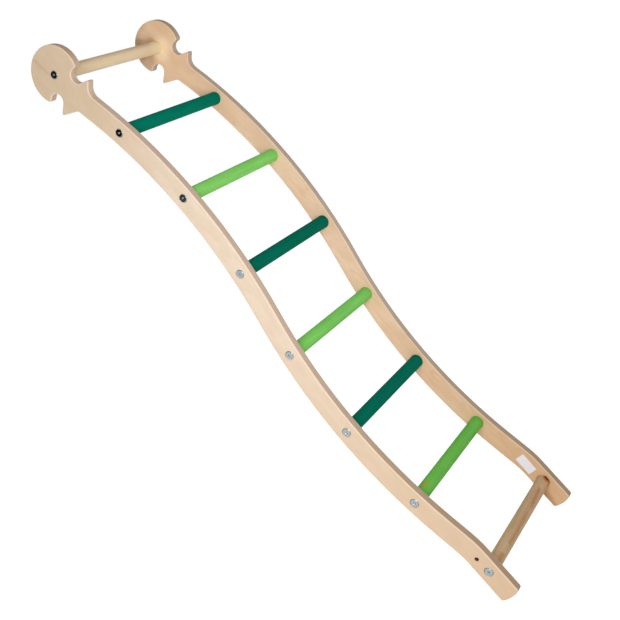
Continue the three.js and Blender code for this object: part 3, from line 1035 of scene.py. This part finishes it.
class LADDER_OT_label(bpy.types.Operator):
    """Makes the blank paper label on the inner face of the right rail"""

    bl_idname = "ladder.label"
    bl_label = "Blank Label"

    def execute(self, context):
        sizes = context.scene.ladder_sizes
        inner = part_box("rail_right")[0].y
        gap = 0.00002
        middle = inner - gap - sizes.label_thickness / 2
        slant = math.radians(-2.5)
        bpy.ops.object.select_all(action="DESELECT")
        bpy.ops.mesh.primitive_cube_add(
            size=1.0,
            location=on_ladder(*LABEL_PLACE, middle),
            rotation=(0.0, LEAN + slant, 0.0),
        )
        label = bpy.context.object
        label.name = "blank_label"
        label.scale = (sizes.label_length, sizes.label_thickness, sizes.label_width)
        settle(label)
        mesh = label.data
        near = 0.00002

        def corner(edge):
            first, second = (mesh.vertices[v].co for v in edge.vertices)
            return abs(abs(first.y - second.y) - sizes.label_thickness) < near

        eased(label, corner, sizes.label_corner, segments=4)
        smooth(label, degrees=40)
        finished(label, None, None, paper(context.scene.ladder_colours))
        return {"FINISHED"}


# Stage.


def seen(shade):
    """1 for rays from the eye, direct or by way of gloss or glass."""
    path = shade.tree.nodes.new("ShaderNodeLightPath").outputs
    total = path[SEEN_RAYS[0]]
    for name in SEEN_RAYS[1:]:
        total = shade.math("MAXIMUM", total, path[name])
    return total


class LADDER_OT_stage(bpy.types.Operator):
    """Sets the floor, the soft lamps, the even surroundings and the camera"""

    bl_idname = "ladder.stage"
    bl_label = "Floor, Light and Camera"

    def execute(self, context):
        stage = context.scene.ladder_stage
        self.floor(stage)
        self.surroundings(context.scene, stage.world)
        self.lamp("key", KEY_PLACE, KEY_SIZE, stage.key_power)
        self.lamp("back", BACK_PLACE, BACK_SIZE, stage.back_power)
        for name, middle, size, turn in CARDS:
            self.card(name, middle, size, turn, stage.card)
        self.camera(context.scene, stage)
        context.scene.view_settings.view_transform = "Standard"
        return {"FINISHED"}

    def floor(self, stage):
        bpy.ops.object.select_all(action="DESELECT")
        level = CAD_BOX[0].z - stage.floor_drop
        bpy.ops.mesh.primitive_plane_add(size=stage.floor_size, location=(0.0, 0.0, level))
        floor = bpy.context.object
        floor.name = "floor"
        settle(floor)
        material, shade, surface = new_material("Pale Floor")
        surface.inputs["Base Color"].default_value = (*stage.floor, 1.0)
        surface.inputs["Roughness"].default_value = 0.9
        surface.inputs["Specular IOR Level"].default_value = 0.0
        surface.inputs["Emission Color"].default_value = (1.0, 1.0, 1.0, 1.0)
        lift = shade.times(seen(shade), stage.floor_lift)
        shade.tree.links.new(lift, surface.inputs["Emission Strength"])
        floor.data.materials.append(material)

    def surroundings(self, scene, level):
        world = bpy.data.worlds.new("Even Light")
        world.use_nodes = True
        scene.world = world
        shade = Shade(world.node_tree)
        background = world.node_tree.nodes["Background"]
        background.inputs["Color"].default_value = (1.0, 1.0, 1.0, 1.0)
        strength = shade.step(seen(shade), 0.0, 1.0, level, 1.0)
        world.node_tree.links.new(strength, background.inputs["Strength"])

    def lamp(self, name, place, size, power):
        data = bpy.data.lights.new(name, "AREA")
        data.shape = "SQUARE"
        data.size = size
        data.energy = power
        lamp = bpy.data.objects.new(name, data)
        bpy.context.scene.collection.objects.link(lamp)
        lamp.location = place
        lamp.rotation_euler = (LAMP_TARGET - lamp.location).to_track_quat("-Z", "Y").to_euler()
        lamp.visible_camera = False

    def card(self, name, middle, size, turn, tint):
        """An upright card, turned about the vertical, which only mirrors see."""
        bpy.ops.object.select_all(action="DESELECT")
        bpy.ops.mesh.primitive_plane_add(
            size=1.0, location=middle, rotation=(math.pi / 2, 0.0, turn)
        )
        card = bpy.context.object
        card.name = name.replace(" ", "_")
        card.scale = (*size, 1.0)
        settle(card)
        material, _, surface = new_material(name.title())
        surface.inputs["Base Color"].default_value = (*tint, 1.0)
        surface.inputs["Specular IOR Level"].default_value = 0.0
        card.data.materials.append(material)
        card.visible_camera = False
        card.visible_diffuse = False
        card.visible_transmission = False
        card.visible_shadow = False

    def camera(self, scene, stage):
        data = bpy.data.cameras.new("camera")
        camera = bpy.data.objects.new("camera", data)
        scene.collection.objects.link(camera)
        camera.location = stage.camera_place
        camera.rotation_euler = stage.camera_turn
        data.lens = stage.focal_length
        data.sensor_width = 36.0
        data.shift_x, data.shift_y = stage.camera_shift
        data.clip_start = 0.05
        data.clip_end = 200.0
        scene.camera = camera


PIECE_OPERATORS = (
    LADDER_OT_rails,
    LADDER_OT_rungs,
    LADDER_OT_bolts,
    LADDER_OT_inserts,
    LADDER_OT_label,
    LADDER_OT_stage,
)


class LADDER_PT_panel(bpy.types.Panel):
    """Lists the pieces and their settings"""

    bl_label = "Climbing Ladder"
    bl_idname = "LADDER_PT_panel"
    bl_space_type = "VIEW_3D"
    bl_region_type = "UI"
    bl_category = "Ladder"

    def draw(self, context):
        layout = self.layout
        for operator in PIECE_OPERATORS:
            layout.operator(operator.bl_idname)
        for group in ("ladder_sizes", "ladder_colours", "ladder_stage"):
            settings = getattr(context.scene, group)
            box = layout.box()
            for name in settings.__annotations__:
                box.prop(settings, name)


SETTINGS = {
    "ladder_sizes": LadderSizes,
    "ladder_colours": LadderColours,
    "ladder_stage": LadderStage,
}
CLASSES = (*SETTINGS.values(), *PIECE_OPERATORS, LADDER_PT_panel)


def register():
    for made in CLASSES:
        bpy.utils.register_class(made)
    for name, group in SETTINGS.items():
        setattr(bpy.types.Scene, name, PointerProperty(type=group))


def unregister():
    for name in SETTINGS:
        delattr(bpy.types.Scene, name)
    for made in reversed(CLASSES):
        bpy.utils.unregister_class(made)


def main():
    register()
    for operator in PIECE_OPERATORS:
        group, name = operator.bl_idname.split(".")
        getattr(getattr(bpy.ops, group), name)()


if __name__ == "__main__":
    main()
